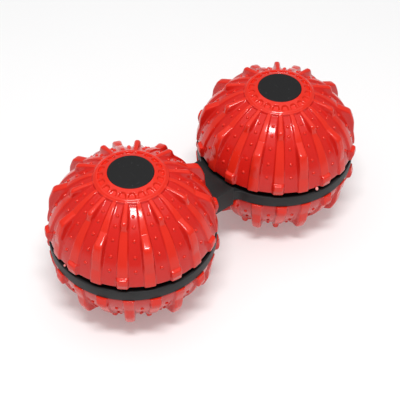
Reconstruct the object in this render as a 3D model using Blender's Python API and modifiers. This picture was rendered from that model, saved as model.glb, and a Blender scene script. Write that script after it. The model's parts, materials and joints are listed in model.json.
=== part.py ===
"""Twin-ball massage roller: two ribbed balls that spin on a black figure-eight frame.

Each ball is two half shells on two stiff cores. The cores key together through a hub bore in the
frame, and one bolt along the ball's axis clamps them. Black caps close the crowns. The model is in
metres with +Z up. It stands on its two lower caps, with the origin on the ground between the balls.
"""

import math

import bmesh
import bpy
from mathutils import Vector

MM = 0.001

# ---- Driving dimensions -------------------------------------------------------------------------
AXIS_SPACING = 86.3 * MM        # from one ball's axis to the other's
CAP_HEIGHT = 36.1 * MM          # from a ball's mid-plane to the outside of its cap
FRAME_DROP = 1.2 * MM           # the frame hangs this far below the balls' mid-plane, in its float
GAP = 0.3 * MM                  # between pieces that touch

CHANNEL_RADIUS = 37.0 * MM      # half-ellipse of the shell between the ribs
CHANNEL_RISE = 35.5 * MM
RIB_RADIUS = 38.0 * MM          # half-ellipse of a low rib's back
RIB_RISE = 36.3 * MM
DOME_BASE = 1.6 * MM            # height of both half-ellipses' centre above the mid-plane
RIM_Z = 4.3 * MM                # a half shell's open edge
RIM_INSIDE = 34.6 * MM
CROWN_BORE = 10.3 * MM
CROWN_RING = 16.0 * MM
RIB_COUNT = 20                  # alternately with a crown tongue and with a shoulder nub
RIB_FOOT = 0.35 * MM            # how much wider a rib is at its foot, on each side

RING_RADIUS = 37.3 * MM         # the frame's rings
RING_HALF = 2.75 * MM
LIP_INSIDE = 36.2 * MM
WEB_HALF = 1.6 * MM
HUB_BORE = 9.3 * MM
BRIDGE_HALF = 5.4 * MM          # half the bridge's height
BRIDGE_WIDTH = 24.0 * MM
BRIDGE_CLEARANCE = 39.2 * MM    # radius that the spinning nubs need in the bridge

JOURNAL_RADIUS = 7.0 * MM
SHOULDER_Z = 4.6 * MM
SHOULDER_RADIUS = 10.5 * MM
BOLT_RADIUS = 2.0 * MM
SOCKET_RADIUS = 8.9 * MM
SOCKET_FLOOR = 27.5 * MM
KEY_HALF = 3.6 * MM
KEY_LENGTH = 3.0 * MM
CAP_RADIUS = 10.0 * MM

ROUND_STEPS = 24                # sides of a turned piece
CAP_STEPS = 32
RING_STEPS = 48                 # sides of the frame's rings
SMALL_STEPS = 16                # sides of a bolt or washer

# Degrees about +Z of one rib with a crown tongue, for each half shell.
TONGUE_ANGLE = {
    ("left", "upper"): 225.4,
    ("left", "lower"): 210.8,
    ("right", "upper"): 228.6,
    ("right", "lower"): 232.4,
}

BALL_CENTRE = {
    "left": Vector((-AXIS_SPACING / 2, 0, CAP_HEIGHT)),
    "right": Vector((AXIS_SPACING / 2, 0, CAP_HEIGHT)),
}
FRAME_CENTRE = Vector((0, 0, CAP_HEIGHT - FRAME_DROP))


# ---- Scene and helpers --------------------------------------------------------------------------
for old in list(bpy.data.objects):
    bpy.data.objects.remove(old, do_unlink=True)

PARTS = bpy.data.collections.new("twin_ball_roller")
CUTTERS = bpy.data.collections.new("cutters")
bpy.context.scene.collection.children.link(PARTS)
bpy.context.scene.collection.children.link(CUTTERS)


def material(name, colour, roughness, metallic=0.0):
    """A Principled material in one colour."""
    made = bpy.data.materials.new(name)
    made.use_nodes = True
    shader = made.node_tree.nodes["Principled BSDF"]
    shader.inputs["Base Color"].default_value = (*colour, 1.0)
    shader.inputs["Roughness"].default_value = roughness
    shader.inputs["Metallic"].default_value = metallic
    made.diffuse_color = (*colour, 1.0)
    return made


RED = material("red_plastic", (0.70, 0.03, 0.02), 0.30)
BLACK = material("black_plastic", (0.03, 0.03, 0.03), 0.45)
CAP_BLACK = material("cap_black", (0.035, 0.035, 0.035), 0.55)
CORE_GREY = material("core_plastic", (0.05, 0.05, 0.05), 0.6)
ACETAL = material("bush_acetal", (0.75, 0.74, 0.70), 0.4)
STEEL = material("zinc_steel", (0.62, 0.62, 0.63), 0.35, 1.0)


def add_object(name, mesh, finish, place, collection=PARTS, parent=None):
    """Link a mesh as an object at a place, with its material."""
    mesh.materials.clear()
    mesh.materials.append(finish)
    made = bpy.data.objects.new(name, mesh)
    collection.objects.link(made)
    made.parent = parent
    made.location = place
    return made


def turned(name, profile, finish, place, parent=None, closed=True, steps=ROUND_STEPS):
    """A turned piece: a profile of (radius, height) spun about Z by a Screw modifier."""
    mesh = bpy.data.meshes.new(name)
    outline = bmesh.new()
    points = [outline.verts.new((radius, 0, height)) for radius, height in profile]
    for first, second in zip(points, points[1:]):
        outline.edges.new((first, second))
    if closed:
        outline.edges.new((points[-1], points[0]))
    outline.to_mesh(mesh)
    outline.free()
    made = add_object(name, mesh, finish, place, parent=parent)
    screw = made.modifiers.new("turn", "SCREW")
    screw.steps = steps
    screw.render_steps = steps
    screw.use_merge_vertices = True
    screw.merge_threshold = 0.00001
    screw.use_smooth_shade = False
    return made


def cutter_box(name, low, high, place, parent=None):
    """A box between two corners, kept as a Boolean operand."""
    mesh = bpy.data.meshes.new(name)
    box = bmesh.new()
    bmesh.ops.create_cube(box, size=1.0)
    low, high = Vector(low), Vector(high)
    bmesh.ops.scale(box, vec=high - low, verts=box.verts)
    bmesh.ops.translate(box, vec=(low + high) / 2, verts=box.verts)
    box.to_mesh(mesh)
    box.free()
    return hide_operand(add_object(name, mesh, STEEL, place, CUTTERS, parent))


def cutter_cylinder(name, radius, low, high, place, parent=None, sides=ROUND_STEPS):
    """A cylinder between two heights, kept as a Boolean operand."""
    mesh = bpy.data.meshes.new(name)
    cylinder = bmesh.new()
    bmesh.ops.create_cone(cylinder, cap_ends=True, segments=sides, radius1=radius,
                          radius2=radius, depth=high - low)
    bmesh.ops.translate(cylinder, vec=(0, 0, (low + high) / 2), verts=cylinder.verts)
    cylinder.to_mesh(mesh)
    cylinder.free()
    return hide_operand(add_object(name, mesh, STEEL, place, CUTTERS, parent))


def hide_operand(operand):
    """Mark an object as an operand of a Boolean, not a piece."""
    operand.hide_render = True
    operand.display_type = "WIRE"
    return operand


def boolean(target, operand, operation):
    """Add an exact Boolean modifier."""
    step = target.modifiers.new(operation.lower(), "BOOLEAN")
    step.operation = operation
    step.object = operand
    step.solver = "EXACT"


# ---- The half shells ----------------------------------------------------------------------------
def dome_height(radius, dome_radius, dome_rise):
    """Height of a half-ellipse at a radius."""
    return DOME_BASE + dome_rise * math.sqrt(max(0.0, 1 - (radius / dome_radius) ** 2))


def dome_radius_at(height, dome_radius, dome_rise):
    """Radius of a half-ellipse at a height."""
    return dome_radius * math.sqrt(max(0.0, 1 - ((height - DOME_BASE) / dome_rise) ** 2))


def on_rib(radius):
    return radius, dome_height(radius, RIB_RADIUS, RIB_RISE)


def on_rib_at(height):
    return dome_radius_at(height, RIB_RADIUS, RIB_RISE), height


def on_channel(radius):
    return radius, dome_height(radius, CHANNEL_RADIUS, CHANNEL_RISE)


CROWN = [(CROWN_BORE, 35.8 * MM), (CROWN_RING, 33.6 * MM)]
INSIDE = [(RIM_INSIDE, RIM_Z), (33.2 * MM, 12.0 * MM), (24.0 * MM, 26.2 * MM), (CROWN_BORE, 32.6 * MM)]

# A rib whose tongue runs level out of the crown ring, then a nub at the rim.
TONGUE_RIB = CROWN + [
    (24.8 * MM, 31.0 * MM),
    (26.3 * MM, 29.2 * MM),
    (27.5 * MM, 26.5 * MM),
    on_rib(33.5 * MM),
    on_rib_at(10.3 * MM),
    (38.4 * MM, 9.5 * MM),
    (38.8 * MM, 7.3 * MM),
    (37.8 * MM, RIM_Z),
] + INSIDE

# A rib that follows the dome to a large nub on its shoulder.
SHOULDER_RIB = CROWN + [
    on_rib(22.0 * MM),
    on_rib(27.6 * MM),
    (32.7 * MM, 23.6 * MM),
    (35.1 * MM, 21.0 * MM),
    (36.2 * MM, 16.5 * MM),
    on_rib_at(10.9 * MM),
    on_rib_at(7.0 * MM),
    (37.7 * MM, RIM_Z),
] + INSIDE

CHANNEL = CROWN + [
    (16.4 * MM, 32.4 * MM),
    on_channel(22.0 * MM),
    on_channel(27.0 * MM),
    on_channel(31.0 * MM),
    on_channel(34.0 * MM),
    on_channel(35.7 * MM),
    on_channel(36.6 * MM),
    (36.9 * MM, RIM_Z),
] + INSIDE


def rib_half_width(radius):
    """Half a rib's width: it widens from the crown to the rim."""
    return 0.85 * MM + 0.075 * (radius - CROWN_RING)


def rib_side(profile, rib_angle, side, foot):
    """One side of a rib: the profile's points, set off sideways from the rib's middle."""
    points = []
    for radius, height in profile:
        offset = side * math.asin((rib_half_width(radius) + foot) / radius)
        angle = rib_angle + offset
        points.append(Vector((radius * math.cos(angle), radius * math.sin(angle), height)))
    return points


def half_shell(name, tongue_degrees, upper, place, parent):
    """A half shell, lofted round the axis through the sides of its ribs and channels."""
    pitch = math.tau / RIB_COUNT
    sections = []
    for rib in range(RIB_COUNT):
        angle = math.radians(tongue_degrees) + rib * pitch
        profile = TONGUE_RIB if rib % 2 == 0 else SHOULDER_RIB
        sections.append(rib_side(CHANNEL, angle, -1, RIB_FOOT))
        sections.append(rib_side(profile, angle, -1, 0.0))
        sections.append(rib_side(profile, angle, 1, 0.0))
        sections.append(rib_side(CHANNEL, angle, 1, RIB_FOOT))
    shell = bmesh.new()
    loops = [[shell.verts.new(point) for point in section] for section in sections]
    for here, there in zip(loops, loops[1:] + loops[:1]):
        for index in range(len(here)):
            after = (index + 1) % len(here)
            shell.faces.new((here[index], here[after], there[after], there[index]))
    if not upper:
        bmesh.ops.scale(shell, vec=(1, 1, -1), verts=shell.verts)
    bmesh.ops.recalc_face_normals(shell, faces=shell.faces)
    bmesh.ops.triangulate(shell, faces=shell.faces)
    mesh = bpy.data.meshes.new(name)
    shell.to_mesh(mesh)
    shell.free()
    return add_object(name, mesh, RED, place, parent=parent)


# ---- The stiff cores, caps and fasteners --------------------------------------------------------
CORE_PROFILE = [
    (SOCKET_RADIUS, 33.4 * MM),
    (9.9 * MM, 33.4 * MM),
    (9.9 * MM, 32.0 * MM),
    (23.5 * MM, 25.5 * MM),
    (32.6 * MM, 11.7 * MM),
    (34.0 * MM, 4.75 * MM),
    (32.0 * MM, 4.75 * MM),
    (30.7 * MM, 11.0 * MM),
    (22.4 * MM, 23.6 * MM),
    (10.9 * MM, 25.5 * MM),
    (JOURNAL_RADIUS, 25.5 * MM),
    (JOURNAL_RADIUS, 6.6 * MM),
    (SHOULDER_RADIUS, 6.6 * MM),
    (SHOULDER_RADIUS, SHOULDER_Z),
    (JOURNAL_RADIUS, SHOULDER_Z),
    (JOURNAL_RADIUS, GAP / 2),
    (BOLT_RADIUS + GAP, GAP / 2),
    (BOLT_RADIUS + GAP, SOCKET_FLOOR),
    (SOCKET_RADIUS, SOCKET_FLOOR),
]

CAP_PROFILE = [
    (0, CAP_HEIGHT),
    (9.5 * MM, CAP_HEIGHT),
    (CAP_RADIUS, CAP_HEIGHT - 0.5 * MM),
    (CAP_RADIUS, 33.8 * MM),
    (8.5 * MM, 33.8 * MM),
    (8.5 * MM, 31.4 * MM),
    (7.3 * MM, 31.4 * MM),
    (7.3 * MM, 33.6 * MM),
    (0, 33.6 * MM),
]

WASHER_BOTTOM = SOCKET_FLOOR + GAP
WASHER_TOP = WASHER_BOTTOM + 0.8 * MM
HEAD_BOTTOM = WASHER_TOP + GAP
HEAD_TOP = HEAD_BOTTOM + 2.4 * MM
NUT_THICKNESS = 3.2 * MM
NUT_ACROSS_CORNERS = 4.04 * MM


def facing(profile, upper):
    """The profile for the upper side, or its mirror image for the lower one."""
    if upper:
        return profile
    return [(radius, -height) for radius, height in reversed(profile)]


def core(name, upper, place, parent):
    """A stiff core: the upper one has a square key, and the lower one the socket for it."""
    made = turned(name, facing(CORE_PROFILE, upper), CORE_GREY, place, parent)
    bore = BOLT_RADIUS + GAP
    if upper:
        key = cutter_box(name + "_key", (-KEY_HALF, -KEY_HALF, -KEY_LENGTH),
                         (KEY_HALF, KEY_HALF, 2.0 * MM), place, parent)
        key_bore = cutter_cylinder(name + "_bore", bore, -KEY_LENGTH - MM, 3.0 * MM, place, parent)
        boolean(key, key_bore, "DIFFERENCE")
        boolean(made, key, "UNION")
    else:
        half = KEY_HALF + GAP
        socket = cutter_box(name + "_socket", (-half, -half, -KEY_LENGTH - GAP),
                            (half, half, MM), place, parent)
        boolean(made, socket, "DIFFERENCE")
    return made


def cap(name, upper, place, parent):
    """A cap: a flat disc with a plug ring that fits the core's socket."""
    return turned(name, facing(CAP_PROFILE, upper), CAP_BLACK, place, parent, closed=False,
                  steps=CAP_STEPS)


def washer(name, upper, place, parent):
    inner, outer = BOLT_RADIUS + GAP, 4.5 * MM
    profile = [(inner, WASHER_TOP), (outer, WASHER_TOP), (outer, WASHER_BOTTOM), (inner, WASHER_BOTTOM)]
    return turned(name, facing(profile, upper), STEEL, place, parent, steps=SMALL_STEPS)


def clamp_bolt(name, place, parent):
    """The bolt on the ball's axis, with a hexagon socket in its head."""
    end = -(HEAD_BOTTOM + NUT_THICKNESS)
    profile = [
        (0, HEAD_TOP),
        (3.3 * MM, HEAD_TOP),
        (3.6 * MM, HEAD_TOP - 0.3 * MM),
        (3.6 * MM, HEAD_BOTTOM),
        (BOLT_RADIUS, HEAD_BOTTOM),
        (BOLT_RADIUS, end + 0.5 * MM),
        (BOLT_RADIUS - 0.5 * MM, end),
        (0, end),
    ]
    bolt = turned(name, profile, STEEL, place, parent, closed=False, steps=SMALL_STEPS)
    socket = cutter_cylinder(name + "_hexagon", 1.45 * MM, HEAD_TOP - 1.5 * MM, HEAD_TOP + MM,
                             place, parent, sides=6)
    boolean(bolt, socket, "DIFFERENCE")
    return bolt


def clamp_nut(name, place, parent):
    """A hexagon nut in the lower core's socket."""
    mesh = bpy.data.meshes.new(name)
    body = bmesh.new()
    bmesh.ops.create_cone(body, cap_ends=True, segments=6, radius1=NUT_ACROSS_CORNERS,
                          radius2=NUT_ACROSS_CORNERS, depth=NUT_THICKNESS)
    middle = -(HEAD_BOTTOM + NUT_THICKNESS / 2)
    bmesh.ops.translate(body, vec=(0, 0, middle), verts=body.verts)
    body.to_mesh(mesh)
    body.free()
    nut = add_object(name, mesh, STEEL, place, parent=parent)
    hole = cutter_cylinder(name + "_hole", BOLT_RADIUS + GAP, middle - NUT_THICKNESS,
                           middle + NUT_THICKNESS, place, parent, sides=SMALL_STEPS)
    boolean(nut, hole, "DIFFERENCE")
    return nut


def ball(side):
    """One ball, hung on an empty that lies on its joint's axis."""
    axis = bpy.data.objects.new(side + "_ball_axis", None)
    PARTS.objects.link(axis)
    axis.location = BALL_CENTRE[side]
    centre = Vector((0, 0, 0))
    for half, upper in (("upper", True), ("lower", False)):
        label = f"{side}_{half}_"
        half_shell(label + "shell", TONGUE_ANGLE[side, half], upper, centre, axis)
        core(label + "core", upper, centre, axis)
        cap(label + "cap", upper, centre, axis)
        washer(label + "washer", upper, centre, axis)
    clamp_bolt(side + "_clamp_bolt", centre, axis)
    clamp_nut(side + "_clamp_nut", centre, axis)


# ---- The frame and its bushes -------------------------------------------------------------------
def frame_body():
    """The figure-eight frame: two flat rings with a raised lip, joined by a thicker bridge."""
    mesh = bpy.data.meshes.new("frame")
    block = bmesh.new()
    bmesh.ops.create_cube(block, size=1.0)
    bmesh.ops.scale(block, vec=(20 * MM, BRIDGE_WIDTH, 2 * BRIDGE_HALF), verts=block.verts)
    block.to_mesh(mesh)
    block.free()
    frame = add_object("frame", mesh, BLACK, FRAME_CENTRE)
    tall = BRIDGE_HALF + MM
    for side in ("left", "right"):
        place = Vector((BALL_CENTRE[side].x, 0, FRAME_CENTRE.z))
        swept = cutter_cylinder(side + "_sweep", BRIDGE_CLEARANCE, -tall, tall, place, sides=RING_STEPS)
        boolean(frame, swept, "DIFFERENCE")
    plate = cutter_box("bridge_plate", (-14 * MM, -BRIDGE_WIDTH / 2 + 0.1 * MM, -RING_HALF),
                       (14 * MM, BRIDGE_WIDTH / 2 - 0.1 * MM, RING_HALF), FRAME_CENTRE)
    boolean(frame, plate, "UNION")
    for side in ("left", "right"):
        place = Vector((BALL_CENTRE[side].x, 0, FRAME_CENTRE.z))
        ring = cutter_cylinder(side + "_ring", RING_RADIUS, -RING_HALF, RING_HALF, place, sides=RING_STEPS)
        boolean(frame, ring, "UNION")
    for side in ("left", "right"):
        place = Vector((BALL_CENTRE[side].x, 0, FRAME_CENTRE.z))
        for face, low, high in (("top", WEB_HALF, RING_HALF + MM), ("bottom", -RING_HALF - MM, -WEB_HALF)):
            recess = cutter_cylinder(f"{side}_{face}_recess", LIP_INSIDE, low, high, place,
                                     sides=RING_STEPS)
            boolean(frame, recess, "DIFFERENCE")
        bore = cutter_cylinder(side + "_hub_bore", HUB_BORE, -tall, tall, place)
        boolean(frame, bore, "DIFFERENCE")
    return frame


def bush(name, side, upper):
    """A flanged bush in the frame's hub bore, which carries the core's journal."""
    inner, sleeve, flange = JOURNAL_RADIUS + GAP, HUB_BORE - GAP, 11.5 * MM
    flange_low = WEB_HALF + GAP
    flange_high = flange_low + MM
    profile = [
        (inner, flange_high),
        (flange, flange_high),
        (flange, flange_low),
        (sleeve, flange_low),
        (sleeve, GAP / 2),
        (inner, GAP / 2),
    ]
    place = Vector((BALL_CENTRE[side].x, 0, FRAME_CENTRE.z))
    return turned(name, facing(profile, upper), ACETAL, place)


frame_body()
for ball_side in ("left", "right"):
    ball(ball_side)
    bush(ball_side + "_upper_bush", ball_side, True)
    bush(ball_side + "_lower_bush", ball_side, False)
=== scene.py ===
# %% [markdown]
# # A twin-ball massage roller
# Two red ribbed balls spin on a black figure-eight frame. The frame, the axes and everything that
# moves are already solid and packed, so this script loads them and gives them their looks: the fine
# surface of the soft plastic, the rounded edges of the moulded frame, and every finish.

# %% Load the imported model
import json
import math

import bmesh
import bpy
import numpy as np
from mathutils import Matrix, Vector

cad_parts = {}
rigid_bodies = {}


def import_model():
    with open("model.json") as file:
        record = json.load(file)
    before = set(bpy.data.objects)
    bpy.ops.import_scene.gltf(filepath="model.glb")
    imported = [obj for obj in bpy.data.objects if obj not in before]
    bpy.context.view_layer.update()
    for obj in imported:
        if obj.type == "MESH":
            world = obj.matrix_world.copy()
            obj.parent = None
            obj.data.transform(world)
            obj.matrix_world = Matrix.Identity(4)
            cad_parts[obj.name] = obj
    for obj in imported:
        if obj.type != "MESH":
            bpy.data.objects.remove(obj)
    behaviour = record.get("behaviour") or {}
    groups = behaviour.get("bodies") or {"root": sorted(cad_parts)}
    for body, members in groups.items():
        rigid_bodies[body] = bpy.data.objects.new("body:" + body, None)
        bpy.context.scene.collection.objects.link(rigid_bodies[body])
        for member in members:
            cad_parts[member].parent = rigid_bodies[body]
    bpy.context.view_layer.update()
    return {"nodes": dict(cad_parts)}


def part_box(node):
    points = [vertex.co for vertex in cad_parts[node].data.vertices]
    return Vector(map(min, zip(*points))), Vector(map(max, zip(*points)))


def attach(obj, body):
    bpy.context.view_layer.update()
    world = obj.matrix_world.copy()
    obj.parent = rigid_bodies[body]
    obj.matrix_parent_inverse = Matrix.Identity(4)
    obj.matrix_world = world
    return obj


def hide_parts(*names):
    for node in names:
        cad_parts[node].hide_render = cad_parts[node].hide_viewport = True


for old in list(bpy.data.objects):
    bpy.data.objects.remove(old, do_unlink=True)

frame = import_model()
MM = 0.001

# %% [markdown]
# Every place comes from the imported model. A cap's box gives its ball's axis, the two caps of a ball
# give the mid-plane between its half shells, and the frame's box gives the frame's own mid-plane.

# %% Read the places from the model
AXIS_X = {}
for side in ("left", "right"):
    low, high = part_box(side + "_upper_cap")
    AXIS_X[side] = (low.x + high.x) / 2
CAP_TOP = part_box("left_upper_cap")[1].z
BALL_Z = CAP_TOP / 2
FRAME_LOW, FRAME_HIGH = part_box("frame")
FRAME_Z = (FRAME_LOW.z + FRAME_HIGH.z) / 2
print("axes at", AXIS_X, "balls' mid-plane", BALL_Z, "frame's mid-plane", FRAME_Z)

# %% [markdown]
# The camera stands above the near left ball and looks down along the roller, so that both crowns
# show their caps and the far ball sits behind the near one. It's placed by its direction from a
# point on the plane of the caps. A long lens keeps the two balls close to one size.

# %% Camera
CAMERA_TURN = math.radians(-41.476)
CAMERA_RISE = math.radians(45.888)
CAMERA_ROLL = math.radians(1.325)
CAMERA_DISTANCE = 442.77 * MM
AIM = Vector((-31.54 * MM, -31.28 * MM, CAP_TOP))

backward = Vector((math.sin(CAMERA_TURN) * math.cos(CAMERA_RISE),
                   -math.cos(CAMERA_TURN) * math.cos(CAMERA_RISE),
                   math.sin(CAMERA_RISE)))
level_right = Vector((0, 0, 1)).cross(backward).normalized()
level_up = backward.cross(level_right)
turned_right = level_right * math.cos(CAMERA_ROLL) + level_up * math.sin(CAMERA_ROLL)
turned_up = level_up * math.cos(CAMERA_ROLL) - level_right * math.sin(CAMERA_ROLL)

camera_data = bpy.data.cameras.new("camera")
camera_data.lens = 97.198
camera_data.sensor_width = 36
camera = bpy.data.objects.new("camera", camera_data)
bpy.context.scene.collection.objects.link(camera)
camera.matrix_world = Matrix.LocRotScale(
    AIM + backward * CAMERA_DISTANCE,
    Matrix((turned_right, turned_up, backward)).transposed(),
    None,
)
bpy.context.scene.camera = camera
print("camera at", [round(c / MM, 1) for c in camera.location], "mm")

# %% [markdown]
# A product on a white sweep is lit by big soft panels from above, so its shadow almost vanishes and
# the ribs still read by their shade. A narrow strip lamp high on the viewer's side gives the
# plastic the short sharp glints that show it is glossy.

# %% Floor, sky and lamps
def add_panel(name, place, aim, width, depth, power):
    """A rectangular area lamp that looks from one point at another."""
    lamp = bpy.data.lights.new(name, "AREA")
    lamp.shape = "RECTANGLE"
    lamp.size = width
    lamp.size_y = depth
    lamp.energy = power
    panel = bpy.data.objects.new(name, lamp)
    bpy.context.scene.collection.objects.link(panel)
    panel.location = place
    panel.rotation_euler = (Vector(aim) - Vector(place)).to_track_quat("-Z", "Y").to_euler()
    return panel


world = bpy.data.worlds.new("studio")
world.use_nodes = True
world.node_tree.nodes["Background"].inputs["Color"].default_value = (1, 1, 1, 1)
world.node_tree.nodes["Background"].inputs["Strength"].default_value = 0.32
bpy.context.scene.world = world
bpy.context.scene.view_settings.view_transform = "Standard"

MIDDLE = Vector((0, 0, BALL_Z))
toward_viewer = Vector((backward.x, backward.y, 0)).normalized()
add_panel("overhead", MIDDLE + Vector((0, 0, 0.9)), MIDDLE, 1.4, 1.4, 4.0)
add_panel("glint", MIDDLE + toward_viewer * 0.27 + Vector((0, 0, 0.75)), MIDDLE, 0.30, 0.09, 4.6)

floor_mesh = bpy.data.meshes.new("floor")
slab = bmesh.new()
bmesh.ops.create_grid(slab, x_segments=1, y_segments=1, size=3.0)
slab.to_mesh(floor_mesh)
slab.free()
floor = bpy.data.objects.new("floor", floor_mesh)
bpy.context.scene.collection.objects.link(floor)

# %% [markdown]
# Finishes are worked out with shader nodes. Written as node calls, a formula is hard to read, so a
# small class wraps a socket and lets Python's own + - * / build the Math nodes.

# %% Shader arithmetic
class Field:
    """A value that varies over a surface, as the output socket of a node."""

    def __init__(self, tree, socket=None):
        self.tree = tree
        self.socket = socket

    def node(self, kind, settings=None, sockets=None, output=0):
        """Add a node: its settings first, then the values or links of its sockets."""
        made = self.tree.nodes.new(kind)
        for name, value in (settings or {}).items():
            setattr(made, name, value)
        for name, value in (sockets or {}).items():
            if isinstance(value, Field):
                self.tree.links.new(value.socket, made.inputs[name])
            else:
                made.inputs[name].default_value = value
        return Field(self.tree, made.outputs[output])

    def maths(self, operation, first, second):
        return self.node("ShaderNodeMath", {"operation": operation}, {0: first, 1: second})

    def __add__(self, other):
        return self.maths("ADD", self, other)

    def __sub__(self, other):
        return self.maths("SUBTRACT", self, other)

    def __mul__(self, other):
        return self.maths("MULTIPLY", self, other)

    def __truediv__(self, other):
        return self.maths("DIVIDE", self, other)

    def __radd__(self, other):
        return self.maths("ADD", other, self)

    def __rsub__(self, other):
        return self.maths("SUBTRACT", other, self)

    def __rmul__(self, other):
        return self.maths("MULTIPLY", other, self)

    def between(self, low, high):
        """0 below low, 1 above high, and smooth between them."""
        return self.node("ShaderNodeMapRange", {"interpolation_type": "SMOOTHSTEP"},
                         {"Value": self, "From Min": low, "From Max": high})

    def mix(self, first, second):
        """The first colour where this value is 0, the second where it is 1."""
        return self.node("ShaderNodeMix", {"data_type": "RGBA"},
                         {0: self, 6: first, 7: second}, output=2)


def rgb(red, green, blue):
    """A colour as a socket wants it, from its linear parts."""
    return (red, green, blue, 1.0)


# %% [markdown]
# Each finish starts the same way: a Principled shader, and noise that reads the object's own
# coordinates, so the pattern stays on the piece as it moves. Grain sizes are given in millimetres.

# %% A finish to start from
def new_finish(name, roughness, metallic=0.0, specular=0.5, coat=0.0):
    """A material with its uniform values set; returns the material, its shader and a Field."""
    made = bpy.data.materials.new(name)
    made.use_nodes = True
    shader = made.node_tree.nodes["Principled BSDF"]
    shader.inputs["Roughness"].default_value = roughness
    shader.inputs["Metallic"].default_value = metallic
    shader.inputs["Specular IOR Level"].default_value = specular
    shader.inputs["Coat Weight"].default_value = coat
    return made, shader, Field(made.node_tree)


def grain(field, size_mm, detail=3.0, stretch=(1, 1, 1), offset=0.0):
    """Noise whose blobs are about size_mm across, from 0 to 1."""
    place = field.node("ShaderNodeTexCoord", output=3)
    place = field.node("ShaderNodeMapping", {}, {"Vector": place, "Scale": stretch,
                                                 "Location": (offset, offset, offset)})
    return field.node("ShaderNodeTexNoise", {},
                      {"Vector": place, "Scale": 1 / (size_mm * MM), "Detail": detail})


def connect(field, value, shader, socket):
    field.tree.links.new(value.socket, shader.inputs[socket])


def bump(field, height, depth_mm, strength=1.0):
    """A surface normal from a height that runs from 0 to 1."""
    return field.node("ShaderNodeBump", {}, {"Height": height, "Distance": depth_mm * MM,
                                             "Strength": strength})


# %% [markdown]
# The red shells are soft moulded plastic: glossy and a little cloudy. The ribs' backs and the crown
# are more orange, and painted shade makes the channels and the ribs' sides a deeper red. The shell's
# mesh will carry a value called relief, 0 in a channel and on a rib's sides, 1 on a rib's back and 2
# on a crumb of flash, and the colour follows it.

# %% Red shell plastic
# The second red is painted shade for the channels and the ribs' sides; the first is the ribs' own
# red.
RED_RIB = rgb(0.70, 0.023, 0.010)
RED_PAINTED_SHADE = rgb(0.60, 0.015, 0.010)
RED_HAZE = rgb(0.80, 0.040, 0.025)
FLASH_PINK = rgb(0.90, 0.30, 0.28)


def red_plastic():
    made, shader, field = new_finish("red_shell", roughness=0.2, specular=0.36)
    relief = field.node("ShaderNodeAttribute", {"attribute_name": "relief"}, output=2)
    cloud = grain(field, 9.0, detail=4.0)
    speck = grain(field, 1.1, detail=2.0)
    # Painted shade: where relief is 0, in the channels and on the ribs' sides, the red goes towards
    # the deeper one; cloud adds random tone.
    shade = (relief * 0.85 + (cloud - 0.5) * 0.5).between(0.0, 1.0)
    colour = shade.mix(RED_PAINTED_SHADE, RED_RIB)
    haze = (speck.between(0.62, 0.85) * cloud.between(0.45, 0.7)) * 0.1
    colour = haze.mix(colour, RED_HAZE)
    colour = relief.between(1.2, 2.0).mix(colour, FLASH_PINK)
    connect(field, colour, shader, "Base Color")
    connect(field, 0.10 + cloud * 0.08 + speck.between(0.5, 0.8) * 0.04, shader, "Roughness")
    waves = grain(field, 6.0, detail=2.0, offset=0.3)
    fine = grain(field, 0.35, detail=2.0)
    connect(field, bump(field, waves * 0.8 + fine * 0.05, 0.12, 0.5), shader, "Normal")
    return made


# %% [markdown]
# The frame is one black moulding with a fine spark-eroded texture, which leaves it satin. The caps
# are the same plastic, polished flatter by handling, with faint arcs where they have rubbed.

# %% Black plastics
BLACK = rgb(0.011, 0.011, 0.0115)
BLACK_WORN = rgb(0.040, 0.041, 0.043)
CAP_SCUFF = rgb(0.075, 0.077, 0.080)


def frame_plastic():
    made, shader, field = new_finish("black_frame", roughness=0.45, specular=0.25)
    cloud = grain(field, 14.0, detail=4.0)
    texture = grain(field, 0.3, detail=2.0)
    dust = grain(field, 0.8, detail=1.0, offset=0.2).between(0.70, 0.80)
    colour = (cloud.between(0.3, 0.8) * 0.35 + dust * 0.25).mix(BLACK, BLACK_WORN)
    connect(field, colour, shader, "Base Color")
    connect(field, 0.40 + cloud * 0.12 + texture * 0.06, shader, "Roughness")
    connect(field, bump(field, texture, 0.02, 0.5), shader, "Normal")
    return made


def cap_plastic():
    made, shader, field = new_finish("cap_black", roughness=0.5, specular=0.2)
    cloud = grain(field, 8.0, detail=5.0)
    rubbed = grain(field, 1.2, detail=3.0, stretch=(0.25, 1.0, 1.0)).between(0.62, 0.78)
    crossed = grain(field, 1.0, detail=3.0, stretch=(1.0, 0.2, 1.0), offset=0.1).between(0.66, 0.8)
    nicks = grain(field, 0.9, detail=0.0, offset=0.4).between(0.76, 0.82)
    marks = rubbed * cloud.between(0.5, 0.7) * 0.4 + crossed * 0.18 + nicks * 0.3
    colour = marks.mix(BLACK, CAP_SCUFF)
    connect(field, colour, shader, "Base Color")
    connect(field, 0.5 + cloud * 0.12 - marks * 0.12, shader, "Roughness")
    fine = grain(field, 0.25, detail=2.0)
    connect(field, bump(field, fine + marks, 0.01, 0.5), shader, "Normal")
    return made


# %% [markdown]
# Inside are glass-filled cores, white acetal bushes and zinc-plated steel. They hardly show, but the
# balls can be taken apart, so each has its own finish: speckled fibres, a waxy white and a brushed,
# slightly yellow metal.

# %% Inner finishes
def core_plastic():
    made, shader, field = new_finish("core_plastic", roughness=0.6)
    fibres = grain(field, 0.6, detail=4.0, stretch=(1.0, 1.0, 0.3)).between(0.55, 0.75)
    connect(field, (fibres * 0.5).mix(BLACK, BLACK_WORN), shader, "Base Color")
    connect(field, 0.55 + fibres * 0.1, shader, "Roughness")
    connect(field, bump(field, fibres, 0.02, 0.4), shader, "Normal")
    return made


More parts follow.
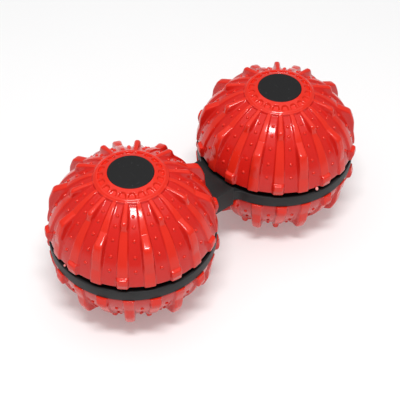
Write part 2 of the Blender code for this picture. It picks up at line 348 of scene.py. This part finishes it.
def acetal():
    made, shader, field = new_finish("bush_acetal", roughness=0.4)
    cloud = grain(field, 5.0, detail=4.0)
    connect(field, cloud.mix(rgb(0.70, 0.68, 0.62), rgb(0.80, 0.79, 0.75)), shader, "Base Color")
    connect(field, 0.34 + cloud * 0.12, shader, "Roughness")
    turning = grain(field, 0.3, detail=1.0, stretch=(0.2, 0.2, 3.0))
    connect(field, bump(field, turning, 0.01, 0.4), shader, "Normal")
    return made


def zinc_steel():
    made, shader, field = new_finish("zinc_steel", roughness=0.35, metallic=1.0)
    cloud = grain(field, 2.5, detail=4.0)
    connect(field, cloud.mix(rgb(0.56, 0.55, 0.50), rgb(0.70, 0.70, 0.71)), shader, "Base Color")
    brushed = grain(field, 0.25, detail=2.0, stretch=(0.2, 0.2, 2.0))
    connect(field, 0.25 + brushed * 0.2, shader, "Roughness")
    connect(field, bump(field, brushed, 0.01, 0.5), shader, "Normal")
    return made


# %% [markdown]
# The floor is stage, not object, so it stays plain: a pale matt sheet, lit a little from below as
# a product photographer's light table is, which thins the shadow out.

# %% Make the finishes
FLOOR_GLOW = 0.22


def floor_sheet():
    made, shader, field = new_finish("floor_sheet", roughness=0.9, specular=0.1)
    cloud = grain(field, 200.0)
    connect(field, cloud.mix(rgb(0.69, 0.69, 0.69), rgb(0.72, 0.72, 0.72)), shader, "Base Color")
    shader.inputs["Emission Color"].default_value = (1, 1, 1, 1)
    shader.inputs["Emission Strength"].default_value = FLOOR_GLOW
    return made


FINISH = {
    "red_shell": red_plastic(),
    "black_frame": frame_plastic(),
    "cap_black": cap_plastic(),
    "core_plastic": core_plastic(),
    "bush_acetal": acetal(),
    "zinc_steel": zinc_steel(),
}
floor.data.materials.append(floor_sheet())
print("finishes:", sorted(FINISH))

# %% [markdown]
# Some helpers for the pieces. A finished mesh goes into the scene as one object at the origin, and a
# turned piece is a half outline spun round the upright axis.

# %% Helpers for pieces
def finish_piece(name, shape, slot, body, replaced, sharp_degrees=35):
    """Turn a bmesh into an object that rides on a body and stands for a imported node."""
    mesh = bpy.data.meshes.new(name)
    shape.to_mesh(mesh)
    shape.free()
    mesh.materials.append(FINISH[slot])
    mesh.shade_smooth()
    if sharp_degrees:
        mesh.set_sharp_from_angle(angle=math.radians(sharp_degrees))
    piece = bpy.data.objects.new(name, mesh)
    bpy.context.scene.collection.objects.link(piece)
    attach(piece, body)
    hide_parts(replaced)
    print(name, "has", sum(len(face.vertices) - 2 for face in mesh.polygons), "triangles")
    return piece


def rounded(corners, steps=6):
    """A line through corners (x, y, radius), with a bend of about that radius at each."""
    line = [Vector(corners[0][:2])]
    for before, corner, after in zip(corners, corners[1:], corners[2:]):
        here = Vector(corner[:2])
        arriving = (here - Vector(before[:2])).normalized()
        leaving = (Vector(after[:2]) - here).normalized()
        if corner[2] == 0:
            line.append(here)
            continue
        cut = corner[2] * math.tan(arriving.angle(leaving) / 2)
        start, end = here - arriving * cut, here + leaving * cut
        for step in range(steps + 1):
            share = step / steps
            line.append(start * (1 - share) ** 2 + here * (2 * share * (1 - share)) + end * share**2)
    line.append(Vector(corners[-1][:2]))
    return line


def spun(outline, steps=128):
    """A solid of revolution about +Z from points (radius, height), top to bottom."""
    shape = bmesh.new()
    points = [shape.verts.new((radius, 0, height)) for radius, height in outline]
    edges = [shape.edges.new(pair) for pair in zip(points, points[1:])]
    bmesh.ops.spin(shape, geom=points + edges, cent=(0, 0, 0), axis=(0, 0, 1), dvec=(0, 0, 0),
                   angle=math.tau, steps=steps, use_merge=True)
    bmesh.ops.remove_doubles(shape, verts=shape.verts, dist=0.000001)
    bmesh.ops.recalc_face_normals(shape, faces=shape.faces)
    return shape


# %% [markdown]
# ## The half shells
# A half shell is a dome with twenty ribs. Every second rib starts as a tongue that runs level out of
# the crown ring, ends in a rounded step, and carries a nub at the rim. The others follow the dome
# and have a broad nub on the shoulder. Between them are smooth channels, each with a row of pins.
#
# A Boolean of forty bars would leave hard seams. Here the whole surface is one grid that is bent
# into shape: its rows run from the crown to the rim and its columns along the ribs, so the loops
# follow each rib's edge. A rib or channel is described by its outline in section.

# %% Outlines of a half shell
RIBS = 20
CENTRE_Z = 1.6          # mm above the ball's mid-plane: the middle of the domes
RIM_Z = 4.3
CROWN_BORE = 10.05
CROWN_EDGE = 15.75      # where the crown's rim begins to turn down
CROWN_RISE = 36.0
CROWN_SLOPE = 0.404
CHANNEL_DOME = (37.0, 34.6)     # radius and rise of the half-ellipse under the channels
RIB_DOME = (38.0, 35.4)         # and of the one that a low rib's back follows


def crown_height(radius):
    """Height of the crown's conical top, in mm."""
    return CROWN_RISE - (radius - CROWN_BORE) * CROWN_SLOPE


def dome(radius, rise, start, end, count=40):
    """Points along a half-ellipse from one radius to a height."""
    first = math.asin(start / radius)
    last = math.acos((end - CENTRE_Z) / rise)
    return [Vector((radius * math.sin(a), CENTRE_Z + rise * math.cos(a)))
            for a in np.linspace(first, last, count)]


def polar(line):
    """An outline as angle from the upright axis and distance from the dome's centre."""
    angle = [math.atan2(x, z - CENTRE_Z) for x, z in line]
    reach = [math.hypot(x, z - CENTRE_Z) for x, z in line]
    return np.array(angle), np.array(reach)


RING_START = (14.5, crown_height(14.5), 0)
CHANNEL = polar(rounded([RING_START, (16.15, 33.54, 0.35), (16.4, 32.65, 0.25), (17.4, 32.2, 0)])
                + dome(*CHANNEL_DOME, 17.8, RIM_Z))
RIB_START = rounded([RING_START, (16.1, 33.56, 0.3), (16.4, 33.12, 0.25), (17.0, 32.98, 0)])
TONGUE_BASE = polar(RIB_START + dome(*RIB_DOME, 18.0, 11.0)
                    + rounded([(36.8, 10.6, 0), (36.9, 10.2, 0.12), (38.4, 9.7, 0.8),
                               (38.8, 7.3, 2.4), (37.8, RIM_Z, 0)]))
SHOULDER = polar(RIB_START + dome(*RIB_DOME, 18.0, 26.3)
                 + rounded([(27.3, 26.18, 0), (27.5, 26.0, 0.3), (34.0, 23.2, 3.0),
                            (36.15, 17.4, 3.0), (36.5, 11.6, 2.0), (37.0, 9.7, 0)])
                 + dome(*RIB_DOME, 37.2, 7.0)
                 + [Vector((37.7, RIM_Z))])
TONGUE = rounded([RING_START, (16.1, 33.56, 0.3), (16.4, 33.18, 0.25), (25.7, 30.9, 2.0),
                  (26.6, 27.3, 1.6), (28.3, 25.0, 0.2), (28.4, 20.0, 0)])


def reach_at(angle, curve):
    return float(np.interp(angle, curve[0], curve[1]))


print("tongue ends at radius", TONGUE[-1][0], "mm")

# %% [markdown]
# Across a rib, the section is a flat back, a rounded edge, a slightly drafted wall and a fillet into
# the channel. Each column of the grid holds one station of that section, whatever the rib's width
# and height are in that row.

# %% Section across a rib
PITCH = math.tau / RIBS
BACK = [0.0, 0.4, 0.75, 1.0]
EDGE = [math.radians(a) for a in (22.5, 45, 67.5, 90)]
FILLET = [math.radians(a) for a in (0, 30, 60, 90)]
FLOOR = [0.25, 0.5, 0.75, 1.0]
STATIONS = len(BACK) + len(EDGE) + len(FILLET) + len(FLOOR)


def half_width(radius):
    """Half a rib's width in mm; inside the crown it is half a spoke's."""
    rib = 0.85 + 0.075 * (radius - 16.0)
    spoke = 0.58
    share = min(1.0, max(0.0, (radius - 15.2) / 1.2))
    return spoke + (max(rib, spoke) - spoke) * share


def station(index, width, height, middle):
    """Sideways offset and height above the channel at one station, in mm."""
    edge = min(1.05, 0.54 * height, 0.85 * width)
    fillet = min(0.75, 0.45 * height, 0.35 * (middle - width))
    draft = min(0.35, 0.08 + 0.08 * height)
    if index < len(BACK):
        return (width - edge) * BACK[index], height
    index -= len(BACK)
    if index < len(EDGE):
        turn = EDGE[index]
        return width - edge * (1 - math.sin(turn)), height - edge * (1 - math.cos(turn))
    index -= len(EDGE)
    foot = width + draft
    if index < len(FILLET):
        turn = FILLET[index]
        return foot + fillet * (1 - math.cos(turn)), fillet * (1 - math.sin(turn))
    index -= len(FILLET)
    start = foot + fillet
    return start + (middle - start) * FLOOR[index], 0.0


# %% [markdown]
# The crown carries twenty shallow pockets with an arched inner end, one above each channel. They
# are pressed into the same grid: how deep a point lies depends on how far inside the pocket it is.
# A smooth raised band runs round outside them, and the ribs start just below it.

# %% Pockets in the crown
POCKET_DEPTH = 1.0
POCKET_IN = 11.6
POCKET_OUT = 14.05
POCKET_CORNER = 1.0
SOFTNESS = 0.22


def smooth_share(value):
    value = min(1.0, max(0.0, value))
    return value * value * (3 - 2 * value)


def pocket_share(radius, aside, half_pocket):
    """1 on a pocket's floor, 0 outside it, from the radius and the offset from its middle."""
    corner = max(0.0, min(aside, half_pocket) - (half_pocket - POCKET_CORNER))
    start = POCKET_IN + POCKET_CORNER - math.sqrt(POCKET_CORNER**2 - corner**2)
    return (smooth_share((radius - start) / SOFTNESS + 0.3)
            * smooth_share((POCKET_OUT - radius) / SOFTNESS + 0.5))


BAND_IN = 14.1
BAND_OUT = 15.8
BAND_RISE = 0.34


def rim_band(radius):
    """The raised round band at the crown's edge, in mm."""
    share = (radius - BAND_IN) / (BAND_OUT - BAND_IN)
    return BAND_RISE * math.sin(math.pi * share) if 0 < share < 1 else 0.0


# %% [markdown]
# Now the rows. In the crown a row is a radius; on the dome it is an angle from the axis, closer
# together where a tongue ends, where the shoulder nubs start and where the rim nubs step out. The
# last rows turn under the rim and close the wall on the inside.

# %% Rows of the grid
CROWN_ROWS = ([CROWN_BORE, 10.12, 10.3, 10.8, 11.2] + list(np.arange(11.4, 13.0, 0.13))
              + [13.2, 13.5, 13.75, 13.87, 13.95, 14.03, 14.11, 14.2, 14.35, 14.6, 14.9, 15.2, 15.5,
                 CROWN_EDGE])
DOME_ROWS = [math.radians(a) for a in np.concatenate([
    np.arange(26.35, 28.2, 0.2), np.arange(28.4, 39.0, 1.2), np.arange(39.6, 51.0, 0.45),
    np.arange(51.4, 62.0, 0.85), np.arange(62.5, 75.5, 1.1), np.arange(76.2, 79.6, 0.28),
    np.arange(80.0, 85.3, 0.7)])]
RIM_ROWS = [(0.0, 4.55), (0.08, 4.38), (0.28, RIM_Z)]
INSIDE_ROWS = [(34.6, RIM_Z), (34.45, 5.0), (33.2, 12.0), (24.0, 26.2), (CROWN_BORE, 32.6)]

# %% [markdown]
# A tongue ends square, but its corners are rounded in plan. So its outline is kept for a range of
# shifts towards the axis, and a column nearer the tongue's side takes one that is shifted further.

# %% How far out a rib's back lies
TONGUE_CORNER = 0.9
TONGUE_BLEND = 0.35     # mm over which a tongue melts into the low rib that it stands on
SHIFTS = np.linspace(0, TONGUE_CORNER, 19)
TONGUES = [polar([Vector((x - shift * smooth_share((x - 18) / 6), z)) for x, z in TONGUE])
           for shift in SHIFTS]


def rib_reach(angle, has_tongue, aside, width):
    """Distance of a rib's back from the dome's centre, at an offset from its middle line."""
    if not has_tongue:
        return reach_at(angle, SHOULDER)
    base = reach_at(angle, TONGUE_BASE)
    corner = max(0.0, min(aside, width) - (width - TONGUE_CORNER))
    shift = TONGUE_CORNER - math.sqrt(TONGUE_CORNER**2 - corner**2)
    tongue = reach_at(angle, TONGUES[int(round(shift / SHIFTS[1]))])
    gap = max(0.0, TONGUE_BLEND - abs(base - tongue)) / TONGUE_BLEND
    return max(base, tongue) + gap * gap * TONGUE_BLEND / 4


# %% [markdown]
# One sector holds a tongue rib and a shoulder rib with half a channel on either side. It starts as a
# flat grid of vertices, and a function says where each of them goes.

# %% One sector, thirty-six degrees wide
HALF_COLUMNS = STATIONS - 1
COLUMNS = 4 * HALF_COLUMNS + 1


def column_station(column):
    """Which rib a column belongs to, its side and its station."""
    rib, within = divmod(column, 2 * HALF_COLUMNS)
    if column == COLUMNS - 1:
        rib, within = 1, 2 * HALF_COLUMNS
    offset = within - HALF_COLUMNS
    return rib, (1 if offset > 0 else -1), abs(offset)


BORE_ROUND = 10.3       # inside this radius the crown's edge rounds down towards the cap
BORE_DROP = 0.12


def crown_point(radius, rib, side, index):
    """Radius, angle and height of a vertex in the crown."""
    middle = radius * PITCH / 2
    width = half_width(radius)
    aside, above = station(index, width, POCKET_DEPTH, middle)
    share = pocket_share(radius, middle - aside, middle - width)
    height = crown_height(radius) + rim_band(radius) - (POCKET_DEPTH - above) * share
    if radius < BORE_ROUND:
        height -= BORE_DROP * ((BORE_ROUND - radius) / (BORE_ROUND - CROWN_BORE)) ** 2
    return radius, rib * PITCH + side * aside / radius, height


def dome_point(angle, rib, side, index):
    """Radius, angle and height of a vertex on the dome, on a rib or in a channel."""
    floor_reach = reach_at(angle, CHANNEL)
    radius = floor_reach * math.sin(angle)
    width = half_width(radius)
    has_tongue = rib == 0
    height = max(0.0, rib_reach(angle, has_tongue, 0.0, width) - floor_reach)
    aside, above = station(index, width, height, radius * PITCH / 2)
    own = max(0.0, rib_reach(angle, has_tongue, aside, width) - floor_reach)
    if height > 0:
        above *= min(1.0, own / height)
    reach = floor_reach + above
    turn = rib * PITCH + side * aside / radius
    return reach * math.sin(angle), turn, CENTRE_Z + reach * math.cos(angle)


def sector_point(row, column):
    """Radius, angle and height of one vertex of the grid."""
    rib, side, index = column_station(column)
    if row < len(CROWN_ROWS):
        return crown_point(CROWN_ROWS[row], rib, side, index)
    row -= len(CROWN_ROWS)
    if row < len(DOME_ROWS):
        return dome_point(DOME_ROWS[row], rib, side, index)
    row -= len(DOME_ROWS)
    radius, turn = dome_point(DOME_ROWS[-1], rib, side, index)[:2]
    if row < len(RIM_ROWS):
        inset, height = RIM_ROWS[row]
        return radius - inset, turn, height
    row -= len(RIM_ROWS)
    if row < len(INSIDE_ROWS):
        inner_radius, height = INSIDE_ROWS[row]
        return inner_radius, turn, height
    return crown_point(CROWN_ROWS[0], rib, side, index)


ROWS = len(CROWN_ROWS) + len(DOME_ROWS) + len(RIM_ROWS) + len(INSIDE_ROWS) + 1
print("sector grid:", ROWS, "rows by", COLUMNS, "columns")


# %% [markdown]
# The grid is bent, given its relief, and turned ten times round the axis. Doubles are merged so that
# the sectors close into one surface.

# %% Bend the grid and repeat it round the axis
SECTORS = RIBS // 2


# Painted shade: where this value is 0, in a channel and on a rib's sides, the shell is painted a
# deeper red.
def relief_at(row, index):
    """1 on a rib's back and all over the crown, 0 in a channel."""
    on_rib = index < len(BACK) + len(EDGE) - 2
    return 1.0 if on_rib or row < len(CROWN_ROWS) + 2 else 0.0


def shell_form():
    """The upper half shell about its own axis, in metres, with its relief on a layer."""
    form = bmesh.new()
    relief = form.verts.layers.float.new("relief")
    bmesh.ops.create_grid(form, x_segments=COLUMNS - 1, y_segments=ROWS - 1, size=0.5)
    form.verts.ensure_lookup_table()
    for vertex in form.verts:
        column = round((vertex.co.x + 0.5) * (COLUMNS - 1))
        row = round((0.5 - vertex.co.y) * (ROWS - 1))
        radius, turn, height = sector_point(row, column)
        vertex[relief] = relief_at(row, column_station(column)[2])
        vertex.co = Vector((radius * math.cos(turn), radius * math.sin(turn), height)) * MM
    bmesh.ops.spin(form, geom=form.verts[:] + form.edges[:] + form.faces[:], cent=(0, 0, 0),
                   axis=(0, 0, 1), dvec=(0, 0, 0), angle=math.tau * (SECTORS - 1) / SECTORS,
                   steps=SECTORS - 1, use_duplicate=True)
    bmesh.ops.remove_doubles(form, verts=form.verts, dist=0.000002)
    bmesh.ops.recalc_face_normals(form, faces=form.faces)
    return form


# %% [markdown]
# Every channel has a row of five low pins down its middle. There are four hundred on the roller, so
# each is a sphere of only a few dozen faces, flattened and sunk into the floor of its channel.

# %% Pins
PIN_RADII = (20.7, 24.3, 28.4, 32.5, 35.2)
PIN_RADIUS = 0.85
PIN_HEIGHT = 0.75
PIN_SUNK = 0.1
# The pins are spared most of the channel's painted shade and take nearly the ribs' lighter red.
PIN_RELIEF = 0.8


def channel_height(radius):
    """Height of a channel's floor at a radius, in mm."""
    dome_radius, rise = CHANNEL_DOME
    return CENTRE_Z + rise * math.sqrt(1 - (radius / dome_radius) ** 2)


def pins_mesh():
    """All of a half shell's pins, as small domes that stand on the floors of its channels."""
    pins = bmesh.new()
    relief = pins.verts.layers.float.new("relief")
    flatten = Matrix.Diagonal((PIN_RADIUS * MM, PIN_RADIUS * MM, PIN_HEIGHT * MM, 1))
    for radius in PIN_RADII:
        angle = math.atan2(radius, channel_height(radius) - CENTRE_Z)
        outward = Vector((math.sin(angle), 0, math.cos(angle)))
        place = (outward * (reach_at(angle, CHANNEL) - PIN_SUNK) + Vector((0, 0, CENTRE_Z))) * MM
        upright = Matrix.Rotation(angle, 4, "Y")
        bmesh.ops.create_uvsphere(pins, u_segments=10, v_segments=6, radius=1.0,
                                  matrix=Matrix.Translation(place) @ upright @ flatten)
    bmesh.ops.rotate(pins, verts=pins.verts, cent=(0, 0, 0),
                     matrix=Matrix.Rotation(PITCH / 2, 3, "Z"))
    bmesh.ops.spin(pins, geom=pins.verts[:] + pins.edges[:] + pins.faces[:], cent=(0, 0, 0),
                   axis=(0, 0, 1), dvec=(0, 0, 0), angle=math.tau - PITCH, steps=RIBS - 1,
                   use_duplicate=True)
    for vertex in pins.verts:
        vertex[relief] = PIN_RELIEF
    mesh = bpy.data.meshes.new("pins")
    pins.to_mesh(mesh)
    pins.free()
    return mesh


shell_base = shell_form()
print("shell:", len(shell_base.verts), "vertices,", len(shell_base.faces), "faces,",
      sum(edge.is_boundary for edge in shell_base.edges), "open edges")
shell_base.from_mesh(pins_mesh())

# %% [markdown]
# Each half is the same moulding, set at its own turn. A lower half is the upper one's mirror image
# across the ball's mid-plane, so its faces are turned back outwards. Two of the upper halves keep a
# torn crumb of flash on the rim, where the mould's thin edge was not trimmed.

# %% The four half shells
TONGUE_DEGREES = {
    ("left", "upper"): 225.4,
    ("left", "lower"): 210.8,
    ("right", "upper"): 228.6,
    ("right", "lower"): 232.4,
}


FLASH = {                        # degrees about the axis, and size in mm
    ("right", "upper"): (256.5, 1.25),
    ("left", "upper"): (180.5, 0.8),
}
FLASH_RADIUS = 37.3
FLASH_RELIEF = 2.0


def add_flash(shell, degrees, size):
    """A torn crumb of thin plastic that hangs from the rim: two lumps side by side."""
    relief = shell.verts.layers.float["relief"]
    for step, share in ((-0.6, 0.7), (0.5, 1.0)):
        turn = math.radians(degrees + step * math.degrees(size / CHANNEL_DOME[0]))
        place = Vector((FLASH_RADIUS * math.cos(turn), FLASH_RADIUS * math.sin(turn),
                        RIM_Z - 0.4 * size)) * MM
        scale = Matrix.Diagonal((0.6, 0.6, 0.8, 1)) * share
        crumb = bmesh.ops.create_icosphere(shell, subdivisions=2, radius=size * MM,
                                           matrix=Matrix.Translation(place) @ scale)
        for vertex in crumb["verts"]:
            vertex[relief] = FLASH_RELIEF


def place_shell(side, half):
    shell = shell_base.copy()
    bmesh.ops.rotate(shell, verts=shell.verts, cent=(0, 0, 0),
                     matrix=Matrix.Rotation(math.radians(TONGUE_DEGREES[side, half]), 3, "Z"))
    if (side, half) in FLASH:
        add_flash(shell, *FLASH[side, half])
    if half == "lower":
        bmesh.ops.scale(shell, verts=shell.verts, vec=(1, 1, -1))
        bmesh.ops.reverse_faces(shell, faces=shell.faces)
    bmesh.ops.translate(shell, verts=shell.verts, vec=(AXIS_X[side], 0, BALL_Z))
    return finish_piece(f"{side}_{half}_moulding", shell, "red_shell", side + "_ball",
                        f"{side}_{half}_shell", sharp_degrees=0)


for side in ("left", "right"):
    for half in ("upper", "lower"):
        place_shell(side, half)
shell_base.free()

# %% [markdown]
# ## The caps
# A cap is a plain turned disc: flat, with a small rounded edge, a straight side and a plug ring that
# pushes into the core. Spinning its outline with 128 steps makes the edge truly round.

# %% Caps
CAP_RADIUS = 9.95


def cap_outline():
    """Half a cap's section in mm from the ball's mid-plane, from the middle of its face."""
    top = CAP_TOP / MM / 2
    return rounded([(0, top, 0), (9.3, top, 0), (CAP_RADIUS, top - 0.02, 0.3),
                    (CAP_RADIUS, 33.8, 0.2), (8.5, 33.8, 0.1), (8.5, 31.4, 0.3), (7.3, 31.4, 0.2),
                    (7.3, 33.6, 0.2), (0, 33.6, 0)], steps=4)


def place_cap(side, half):
    outline = [point * MM for point in cap_outline()]
    cap = spun(outline)
    if half == "lower":
        bmesh.ops.scale(cap, verts=cap.verts, vec=(1, 1, -1))
        bmesh.ops.reverse_faces(cap, faces=cap.faces)
    bmesh.ops.translate(cap, verts=cap.verts, vec=(AXIS_X[side], 0, BALL_Z))
    return finish_piece(f"{side}_{half}_button", cap, "cap_black", side + "_ball",
                        f"{side}_{half}_cap")


for side in ("left", "right"):
    for half in ("upper", "lower"):
        place_cap(side, half)

# %% [markdown]
# ## The frame
# Two flat rings and a thicker bridge are one moulding. Each is made as a closed solid with its own
# rounded edges: a ring is spun, and the bridge is a waisted outline with a hollow round end at each
# ball, extruded and bevelled. It is made twice: as thick as the rings, to join them, and thicker
# between the balls. A Boolean union then makes one closed surface of them.

# %% Frame
RING_OUT = 37.3
RING_HALF = 2.75
LIP_IN = 36.2
WEB_HALF = 1.6
HUB_BORE = 9.3
BRIDGE_HALF = 5.4
BRIDGE_SIDE = 12.0
BRIDGE_SWEEP = 39.2
BRIDGE_FILLET = 5.0
PLATE_END = 36.6        # inside the rings' wall, so that the plate and the rings overlap


def ring_form(centre_x):
    half = [(HUB_BORE, 0, 0), (HUB_BORE, WEB_HALF, 0.25), (LIP_IN, WEB_HALF, 0.25),
            (LIP_IN + 0.05, RING_HALF, 0.2), (RING_OUT, RING_HALF, 0.4), (RING_OUT, 0, 0)]
    upper = rounded(half, steps=4)
    outline = upper + [Vector((x, -z)) for x, z in reversed(upper)]
    ring = bmesh.new()
    points = [ring.verts.new((x * MM, 0, z * MM)) for x, z in outline]
    edges = [ring.edges.new((first, second)) for first, second in zip(points, points[1:])
             if (first.co - second.co).length > 1e-7]
    bmesh.ops.spin(ring, geom=points + edges, cent=(0, 0, 0), axis=(0, 0, 1), dvec=(0, 0, 0),
                   angle=math.tau, steps=192, use_merge=True)
    bmesh.ops.remove_doubles(ring, verts=ring.verts, dist=0.000001)
    bmesh.ops.recalc_face_normals(ring, faces=ring.faces)
    bmesh.ops.translate(ring, verts=ring.verts, vec=(centre_x, 0, FRAME_Z))
    return ring


def bridge_form(half_height, end_radius, edge):
    """A waisted block between the balls: its sides flow into the rings with a fillet.

    Its ends follow a circle round each ball's axis, either inside the ring's wall, to join it, or
    outside the spinning nubs, to clear them.
    """
    spacing = AXIS_X["right"] / MM
    fillet_y = BRIDGE_SIDE + BRIDGE_FILLET
    fillet_x = spacing - math.sqrt((RING_OUT + BRIDGE_FILLET) ** 2 - fillet_y**2)
    last_turn = math.atan2(spacing - fillet_x, fillet_y)
    side = []
    for turn in np.linspace(0, last_turn, 13):
        point = Vector((fillet_x + BRIDGE_FILLET * math.sin(turn),
                        fillet_y - BRIDGE_FILLET * math.cos(turn)))
        if math.hypot(spacing - point.x, point.y) >= end_radius:
            side.append(point)
    reach = math.atan2(side[-1].y, spacing - side[-1].x)
    end = [Vector((spacing - end_radius * math.cos(a), end_radius * math.sin(a)))
           for a in np.linspace(reach, -reach, 25)]
    right = side + end + [Vector((p.x, -p.y)) for p in reversed(side)]
    outline = right + [-p for p in right]
    block = bmesh.new()
    points = [block.verts.new((x * MM, y * MM, -half_height * MM)) for x, y in outline]
    face = block.faces.new(points)
    lifted = bmesh.ops.extrude_face_region(block, geom=[face])["geom"]
    bmesh.ops.translate(block, vec=(0, 0, 2 * half_height * MM),
                        verts=[item for item in lifted if isinstance(item, bmesh.types.BMVert)])
    bmesh.ops.recalc_face_normals(block, faces=block.faces)
    corners = [e for e in block.edges if e.calc_face_angle(0) > math.radians(30)]
    bmesh.ops.bevel(block, geom=corners, offset=edge * MM, offset_type="OFFSET", affect="EDGES",
                    segments=4, profile=0.5, material=-1, clamp_overlap=True)
    bmesh.ops.translate(block, verts=block.verts, vec=(0, 0, FRAME_Z))
    return block


def as_object(name, form):
    mesh = bpy.data.meshes.new(name)
    form.to_mesh(mesh)
    form.free()
    made = bpy.data.objects.new(name, mesh)
    bpy.context.scene.collection.objects.link(made)
    return made


def union(first, others):
    """One closed mesh from several overlapping ones, as a bmesh; the objects are removed."""
    for other in others:
        step = first.modifiers.new("join", "BOOLEAN")
        step.operation = "UNION"
        step.solver = "MANIFOLD"
        step.object = other
    graph = bpy.context.evaluated_depsgraph_get()
    joined = bmesh.new()
    joined.from_mesh(first.evaluated_get(graph).data)
    for used in [first, *others]:
        bpy.data.objects.remove(used, do_unlink=True)
    return joined


frame_form = union(
    as_object("bridge", bridge_form(BRIDGE_HALF, BRIDGE_SWEEP, 0.5)),
    [as_object("plate", bridge_form(RING_HALF - 0.01, PLATE_END, 0.35)),
     as_object("ring_left", ring_form(AXIS_X["left"])),
     as_object("ring_right", ring_form(AXIS_X["right"]))],
)
print("frame:", len(frame_form.faces), "faces,",
      sum(edge.is_boundary for edge in frame_form.edges), "open edges")
finish_piece("frame_moulding", frame_form, "black_frame", "frame", "frame", sharp_degrees=30)

# %% [markdown]
# ## The inner pieces
# The cores, bushes, washers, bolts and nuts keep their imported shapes, which are right as they are.
# They only get their finishes.

# %% Finishes of the inner pieces
for name, node in frame["nodes"].items():
    ending = name.split("_")[-1]
    slot = {"core": "core_plastic", "bush": "bush_acetal", "washer": "zinc_steel",
            "bolt": "zinc_steel", "nut": "zinc_steel"}.get(ending)
    if slot:
        node.data.materials.clear()
        node.data.materials.append(FINISH[slot])
